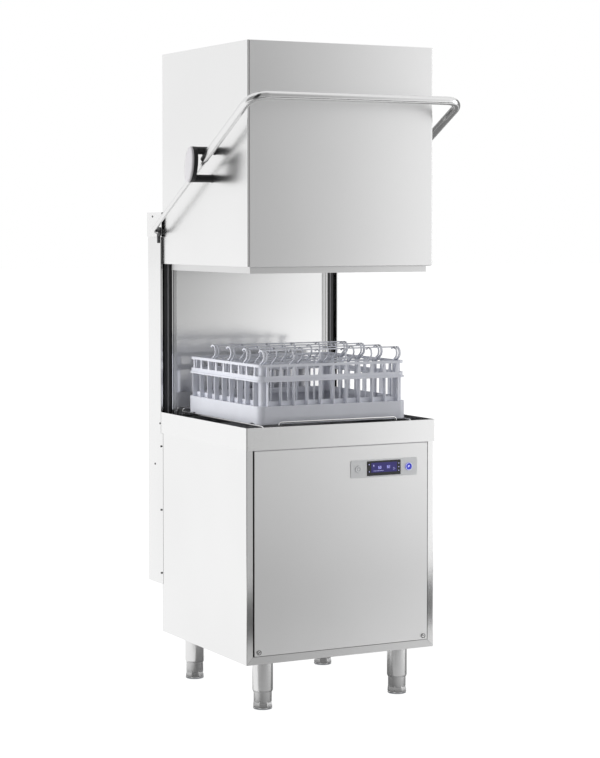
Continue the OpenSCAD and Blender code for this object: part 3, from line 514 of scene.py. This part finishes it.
def handle_guides():
    """Two flared prongs and an oval plate on each side, with a domed oval cap that has a parting line."""
    hood_x = limits("hood_right")[1].x
    cap_out = limits("guide_caps")[1].x
    plate_out = limits("handle_guides")[1].x
    plate_in = plate_out - PLATE_THICK
    prong = [(0, 0), (PRONG_R + 1.5, 0), (PRONG_R + 1.2, 1.5), (PRONG_R, 4), (PRONG_R, plate_in - hood_x),
             (0, plate_in - hood_x)]
    plate = [(2, 2, plate_in), (0, 0, plate_in + 2), (0, 0, plate_out)]
    dome = [(0, 0, plate_out), (0, 0, cap_out - 3), (1.2, 1.4, cap_out - 1.2), (3.2, 3.6, cap_out - 0.4),
            (4.2, 4.8, cap_out - 1.0), (5.4, 6.2, cap_out - 0.3), (12, 20, cap_out)]
    black, caps = bmesh.new(), bmesh.new()
    for s in (-1, 1):
        for side in (-1, 1):
            start = at(s * hood_x, GUIDE_Y, GUIDE_Z) + GUIDE_TILT @ Vector((0, 0, side * PRONG_GAP / 2)) * MM
            turned(black, start, (s, 0, 0), prong, 40)
        lofted(black, [oval_ring(u, v, s * x) for u, v, x in plate])
        lofted(caps, [oval_ring(u, v, s * x) for u, v, x in dome])
    piece("handle_guide_bodies", black, "black", ["handle_guides"])
    piece("handle_guide_covers", caps, "cap", ["guide_caps"])


handle()
handle_guides()

# ---------------------------------------------------------------- wires, legs and small parts

WIRE_R = 2.5
WIRE_BEND = 9
HOOP_X = 197
CROSS_Z = 812
LEG_R = 30
HEAD_R = 3.6
HEAD_PROUD = 1.8
HIGHLIGHT_BAR_R = 2.6
SCREWS = ((612, 800), (605.5, 728), (651, 669), (605.5, 528), (604.5, 329), (668, 1449))


def rack_wires():
    """Rails and hoops of bent wire that carry and guide the rack."""
    lo, hi = limits("rack_guide")
    foot = lo.z
    rail_top = limits("rack")[0].z - 0.3 - WIRE_R
    hoop_top = hi.z - WIRE_R
    rail_x = hi.x - WIRE_R
    front, rear = lo.y + WIRE_R, hi.y - WIRE_R
    bm = bmesh.new()
    for s in (-1, 1):
        rail = [at(s * rail_x, front, foot), at(s * rail_x, front, rail_top), at(s * rail_x, rear, rail_top)]
        swept(bm, rounded(rail, WIRE_BEND * MM), WIRE_R, 14)
    for y, x in ((front, HOOP_X), (rear, rail_x)):
        hoop = [at(-x, y, foot), at(-x, y, hoop_top), at(x, y, hoop_top), at(x, y, foot)]
        swept(bm, rounded(hoop, WIRE_BEND * MM), WIRE_R, 14)
        swept(bm, [at(-rail_x, y, CROSS_Z), at(rail_x, y, CROSS_Z)], WIRE_R, 14)
    piece("rack_guide_wires", bm, "wire", ["rack_guide"])


def feet():
    """Adjustable feet: a sleeve in the leg, an eight-sided flare for the wrench and a dark sole."""
    flare = [(0, 4), (28.4, 4), (29.3, 5.5), (29.3, 9), (28.6, 15), (27.2, 23), (26, 24.5), (0, 24.5)]
    sleeve = [(0, 20), (26.6, 20), (26.6, 109.6), (26.2, 110), (8, 110), (8, 142.5), (7.5, 143), (0, 143)]
    sole = [(0, 0), (26.8, 0), (28, 1), (28, 4.2), (0, 4.2)]
    for name in ("foot_front_left", "foot_front_right", "foot_rear_left", "foot_rear_right"):
        lo, hi = limits(name)
        centre = at((lo.x + hi.x) / 2, (lo.y + hi.y) / 2, 0)
        bm = bmesh.new()
        turned(bm, centre, (0, 0, 1), flare, 8)
        turned(bm, centre, (0, 0, 1), sleeve, 64)
        piece(name + "_sleeve", bm, "foot", [name], bevel=0.4)
        bm = bmesh.new()
        turned(bm, centre, (0, 0, 1), sole, 48)
        trim(name + "_sole", bm, "grey", name)


def legs():
    """Leg tubes with a rolled lower edge, a bore for the foot and a groove under the cabinet."""
    lo, hi = limits("legs")
    r = LEG_R
    top = hi.z - lo.z
    profile = [(0, 74), (27.1, 74), (27.1, 0.6), (27.6, 0), (28.4, 0), (28.9, 1.2), (28.9, 2.6),
               (r - 0.4, 3.2), (r, 4.2), (r, top - 5), (r - 0.6, top - 3), (r, top - 1), (r, top), (0, top)]
    bm = bmesh.new()
    for x in (lo.x + r, hi.x - r):
        for y in (lo.y + r, hi.y - r):
            turned(bm, at(x, y, lo.z), (0, 0, 1), profile, 64)
    piece("leg_tubes", bm, "pipe", ["legs"])


def column_screws():
    """Domed heads with a round recess on the sides of the column."""
    cover_x = limits("cover_screws")[1].x - HEAD_PROUD
    head = [(0, -1), (2, -1), (2, 0), (HEAD_R, 0), (HEAD_R, 0.5), (HEAD_R * 0.8, 1.3), (HEAD_R * 0.45, 1.75),
            (HEAD_R * 0.4, 0.9), (0, 0.7)]
    bm = bmesh.new()
    for y, z in SCREWS:
        for s in (-1, 1):
            turned(bm, at(s * cover_x, y, z), (s, 0, 0), head, 20)
    piece("column_screw_heads", bm, "screw", ["cover_screws"])


def badge():
    """Blank plate with round corners and a raised edge."""
    lo, hi = limits("badge_plate")
    bm = bmesh.new()
    mid = (lo + hi) / 2
    w, h, r = (hi.x - lo.x) / 2, (hi.z - lo.z) / 2, 3

    def outline(inset, y):
        pts = []
        arc = max(0.4, r - inset)
        for quarter, (sx, sz) in enumerate(((1, 1), (-1, 1), (-1, -1), (1, -1))):
            for i in range(6):
                a = math.radians(90 * quarter + 18 * i)
                pts.append(at(mid.x + sx * (w - inset - arc) + arc * math.cos(a), y,
                              mid.z + sz * (h - inset - arc) + arc * math.sin(a)))
        return pts

    lofted(bm, [outline(0, hi.y), outline(0, lo.y + 0.5), outline(0.5, lo.y), outline(1.4, lo.y),
                outline(1.8, lo.y + 0.4), outline(4, lo.y + 0.4)])
    piece("badge_blank", bm, "cap", ["badge_plate"])


def panel_details():
    """Black strips in the side gaps round the service panel as painted shade, a light strip across the top
    gap, and black painted shade in the ring round each lock and in its slot.
    """
    lo, hi = limits("front_panel")
    flange = abs(limits("side_panel_left")[1].x)
    # Black strips in the side gaps: painted shade standing in for the shadow between panel and flange.
    gap_shades = bmesh.new()
    for s in (-1, 1):
        box(gap_shades, sorted((s * (hi.x + SEAM), s * (flange + 2))), (0.7, 3), (lo.z, hi.z))
    trim("panel_gap_shades", gap_shades, "gap_shade", "side_panel_left")
    strip = bmesh.new()
    box(strip, (-hi.x, hi.x), (lo.y + 1, 3), (hi.z + SEAM, limits("rim")[0].z - 0.1))
    trim("panel_top_seal", strip, "cap", "side_panel_left")
    slot_corners = ((-5.4, -0.85), (5.4, -0.85), (5.4, 0.85), (-5.4, 0.85))
    for name, angle in (("panel_lock_left", -35), ("panel_lock_right", 35)):
        lo, hi = limits(name)
        face = at((lo.x + hi.x) / 2, lo.y, (lo.z + hi.z) / 2)
        # A black ring round each lock and a black bar in its slot: painted shade in the gap and the recess.
        lock_shade = bmesh.new()
        turned(lock_shade, face, (0, 1, 0), [(5.6, 0.2), (5.6, -0.05), (7.1, -0.05), (7.1, 0.2), (5.6, 0.2)], 48)
        tilt = Matrix.Rotation(math.radians(angle), 3, "Y")
        slot = [face + tilt @ Vector((u, 1.15, v)) * MM for u, v in slot_corners]
        prism(lock_shade, slot, Vector((0, 0.2, 0)) * MM)
        trim(name + "_groove", lock_shade, "black", name)


def rail_details():
    """A lighter grey bar down each black guide rail as a painted highlight, and strips where the splash back
    meets it: darker steel and black as painted shade, brighter steel at the edge as a painted highlight.
    """
    lo, hi = limits("guide_rails")
    edge = abs(limits("splash_back")[1].x)
    # A lighter grey bar down the middle of each black rail: painted highlight.
    highlight_bar = [(0, 0), (HIGHLIGHT_BAR_R, 0), (HIGHLIGHT_BAR_R, hi.z - lo.z), (0, hi.z - lo.z)]
    highlight_bars = bmesh.new()
    for s in (-1, 1):
        turned(highlight_bars, at(s * (edge + hi.x) / 2, lo.y, lo.z), (0, 0, 1), highlight_bar, 16)
    trim("painted_rail_highlights", highlight_bars, "highlight_bar", "guide_rails")
    # Darker steel and black strips beside each rail are painted shade; the brighter, glossier steel strip at
    # the splash back's edge is a painted highlight.
    for name, look, near, far, out in (("splash_painted_shade", "rail_side_shade", 5, 15, 4.2),
                                       ("splash_groove", "black", 2.6, 5, 4.0),
                                       ("splash_edge_highlight", "wire", -0.6, 2.6, 4.6)):
        bm = bmesh.new()
        for s in (-1, 1):
            box(bm, sorted((s * (edge - near), s * (edge - far))), (lo.y - out, lo.y - 3.4), (lo.z, hi.z))
        trim(name, bm, look, "splash_back")


rack_wires()
legs()
feet()
rail_details()
panel_details()
column_screws()
badge()

# ---------------------------------------------------------------- control strip

SEGMENTS = {"0": "abcdef", "2": "abged", "6": "afgedc", "8": "abcdefg"}
BUTTON_Z = 698.3
POWER_X = 51.7
START_X = 224
FILM = 0.12


def digit(bm, text, x, z, y, h):
    """Seven-segment figures, each segment a thin bar."""
    w, t = h * 0.5, h * 0.13
    bars = {"a": (0, h - t, w, h), "g": (0, (h - t) / 2, w, (h + t) / 2), "d": (0, 0, w, t),
            "f": (0, h / 2, t, h), "e": (0, 0, t, h / 2),
            "b": (w - t, h / 2, w, h), "c": (w - t, 0, w, h / 2)}
    for k, ch in enumerate(text):
        left = x + k * w * 1.45
        for seg in SEGMENTS[ch]:
            x0, z0, x1, z1 = bars[seg]
            box(bm, (left + x0, left + x1), (y - 0.25, y), (z + z0, z + z1))


def controls():
    """Display with a lit window, figures and small marks, and the two round buttons."""
    glass = limits("display")[0].y
    front = glass - FILM
    block = bmesh.new()
    box(block, (81.5, 196), (glass, 6), (676.8, 719.8))
    box(block, (36, 243.7), (11, 28), (677.5, 719))
    piece("display_block", block, "screen", ["display"], bevel=0.8)
    lcd = bmesh.new()
    box(lcd, (95, 183), (front, glass + 0.4), (686, 715))
    trim("display_window", lcd, "lcd", "display")
    marks = bmesh.new()
    digit(marks, "60", 119, 696.5, front, 8)
    digit(marks, "82", 149, 697, front, 8)
    dashes = [(x, 690, 3.2, 1.4) for x in range(103, 134, 5)]
    arrow = [(170, 697, 3.4, 1.2), (173.5, 694.5, 3.4, 1.2), (170, 692, 3.4, 1.2)]
    for x, z, w, h in [(102, 704, 2.5, 5)] + dashes + arrow:
        box(marks, (x, x + w), (front - 0.25, front), (z, z + h))
    for x, z in ((86.5, 709), (87, 687.5), (188, 709), (188, 698), (188, 687)):
        box(marks, (x, x + 2.6), (front, front + 0.4), (z, z + 2.6))
    trim("display_marks", marks, "digit", "display")
    for name, x, r, look in (("power_button", POWER_X, 10, "bezel"), ("start_button", START_X, 11, "blue")):
        lo, hi = limits(name)
        stem = hi.y - lo.y
        bm = bmesh.new()
        turned(bm, at(x, lo.y, BUTTON_Z), (0, 1, 0),
               [(0, 0.9), (r * 0.55, 0.7), (r * 0.8, 0.35), (r - 0.9, 0), (r - 0.2, 0.3), (r, 1.0), (r, 6.8),
                (r + 1.5, 6.8), (r + 1.5, 9), (r, 9), (r, stem), (0, stem)], 64)
        piece(name + "_cap", bm, look, [name])
    start = limits("start_button")[0].y
    ring = bmesh.new()
    turned(ring, at(START_X, start, BUTTON_Z), (0, 1, 0),
           [(10.2, 0.3), (10.0, 0.0), (10.8, 0.0), (11.0, 0.3), (10.4, 0.9), (10.2, 0.3)], 64)
    for x0, x1, z0, z1 in ((-2.6, -1.2, -3, 3), (-1.2, 2.2, 1.8, 3),
                           (-1.2, 2.2, -0.6, 0.6), (1.0, 2.2, 0.6, 1.8)):
        box(ring, (START_X + x0, START_X + x1), (start + 0.1, start + 1.2), (BUTTON_Z + z0, BUTTON_Z + z1))
    trim("start_button_ring", ring, "ring", "start_button")
    mark = bmesh.new()
    turned(mark, at(POWER_X, limits("power_button")[0].y, BUTTON_Z), (0, 1, 0),
           [(4.4, 0.8), (4.4, 0.45), (5.4, 0.45), (5.4, 0.8), (4.4, 0.8)], 40)
    trim("power_button_mark", mark, "grey", "power_button")


controls()

# ---------------------------------------------------------------- camera

cam_data = bpy.data.cameras.new("camera")
cam = bpy.data.objects.new("camera", cam_data)
bpy.context.scene.collection.objects.link(cam)
cam.location = at(-2980.9, -5461.2, 1417.4)
cam.rotation_euler = (math.radians(88.1284), 0, math.radians(-27.6753))
cam_data.sensor_width = 36
cam_data.lens = 100.295
cam_data.shift_x = -0.0095
cam_data.shift_y = -0.11
cam_data.clip_end = 200
bpy.context.scene.camera = cam
bpy.context.scene.view_settings.view_transform = "Standard"

# ---------------------------------------------------------------- floor and light

world = bpy.data.worlds.new("world")
bpy.context.scene.world = world
world.use_nodes = True
sky = world.node_tree.nodes["Background"]
sky.inputs["Color"].default_value = (1, 1, 1, 1)
sky.inputs["Strength"].default_value = 1.0


def flat(name, corners, material):
    """A flat part of the studio, which isn't part of the object."""
    me = bpy.data.meshes.new(name)
    me.from_pydata([tuple(c) for c in corners], [], [tuple(range(len(corners)))])
    o = bpy.data.objects.new(name, me)
    bpy.context.scene.collection.objects.link(o)
    me.materials.append(material)
    return o


def studio(name, value, glow):
    m, nt, b = shader(name)
    b.inputs["Base Color"].default_value = (value, value, value, 1)
    b.inputs["Roughness"].default_value = 0.9
    b.inputs["Specular IOR Level"].default_value = 0.0
    b.inputs["Emission Color"].default_value = (1, 1, 1, 1)
    b.inputs["Emission Strength"].default_value = glow
    return m, nt, b


def graded(name, left, right, low, high):
    """A soft light whose strength grows along x, from low at left to high at right."""
    m, nt, b = studio(name, 0, 1)
    co = node(nt, "ShaderNodeTexCoord")
    xyz = node(nt, "ShaderNodeSeparateXYZ")
    nt.links.new(co.outputs["Object"], xyz.inputs["Vector"])
    r = node(nt, "ShaderNodeMapRange", From_Min=left, From_Max=right, To_Min=low, To_Max=high,
             interpolation_type="SMOOTHSTEP")
    nt.links.new(xyz.outputs["X"], r.inputs["Value"])
    nt.links.new(r.outputs["Result"], b.inputs["Emission Strength"])
    return m


def card(name, x, y, z, material, mirrored=True):
    """An upright or level card that lights the object and that no view shows; mirrored lets steel show it."""
    if z[0] == z[1]:
        corners = [(x[0], y[0], z[0]), (x[1], y[0], z[0]), (x[1], y[1], z[0]), (x[0], y[1], z[0])]
    else:
        corners = [(x[0], y[0], z[0]), (x[1], y[1], z[0]), (x[1], y[1], z[1]), (x[0], y[0], z[1])]
    o = flat(name, corners, material)
    o.visible_camera = False
    o.visible_glossy = mirrored


flat("floor", [(-60, -60, 0), (60, -60, 0), (60, 60, 0), (-60, 60, 0)], studio("floor_white", 0.12, 1.0)[0])
card("front_card_low", (-1.0, 2.8), (-2.2, -2.2), (0.0, 1.0), graded("glow_low", 0.55, 1.75, 0.54, 1.24))
card("front_card_high", (-1.0, 2.8), (-2.2, -2.2), (1.0, 5.0), graded("glow_high", 0.55, 1.75, 0.40, 1.13))
card("floor_near", (-1.6, 2.8), (-1.25, -0.30), (0.006, 0.006), graded("floor_glow", -0.5, 1.5, 0.46, 1.05))
card("floor_dark", (-1.6, 2.8), (-2.1, -1.25), (0.006, 0.006), studio("dark_strip", 0, 0.10)[0])
card("floor_under", (-0.32, 0.32), (-0.30, 0.31), (0.006, 0.006), studio("dark_under", 0, 0.18)[0])
card("floor_right", (0.32, 2.8), (-0.30, 2.0), (0.006, 0.006), studio("grey_floor", 0, 0.25)[0])
card("camera_card", (-1.0, -2.2), (-2.2, -1.9), (0.0, 5.0), studio("dark_side", 0, 0.03)[0])
card("left_card", (-2.2, -3.2), (-1.9, 0.0), (0.0, 3.4), studio("grey_side", 0, 0.36)[0])
card("left_light", (-3.2, -3.2), (0.1, 1.6), (0.0, 2.4), studio("side_glow", 0, 5.0)[0], mirrored=False)
card("right_light", (2.9, 3.6), (-2.1, -0.9), (0.0, 2.6), studio("front_glow", 0, 2.6)[0])
card("right_card", (3.6, 3.6), (-0.9, 3.0), (0.0, 3.4), studio("grey_right", 0, 0.25)[0])
card("back_card", (0.5, 4.2), (3.0, 3.0), (0.0, 3.4), studio("grey_back", 0, 0.28)[0])
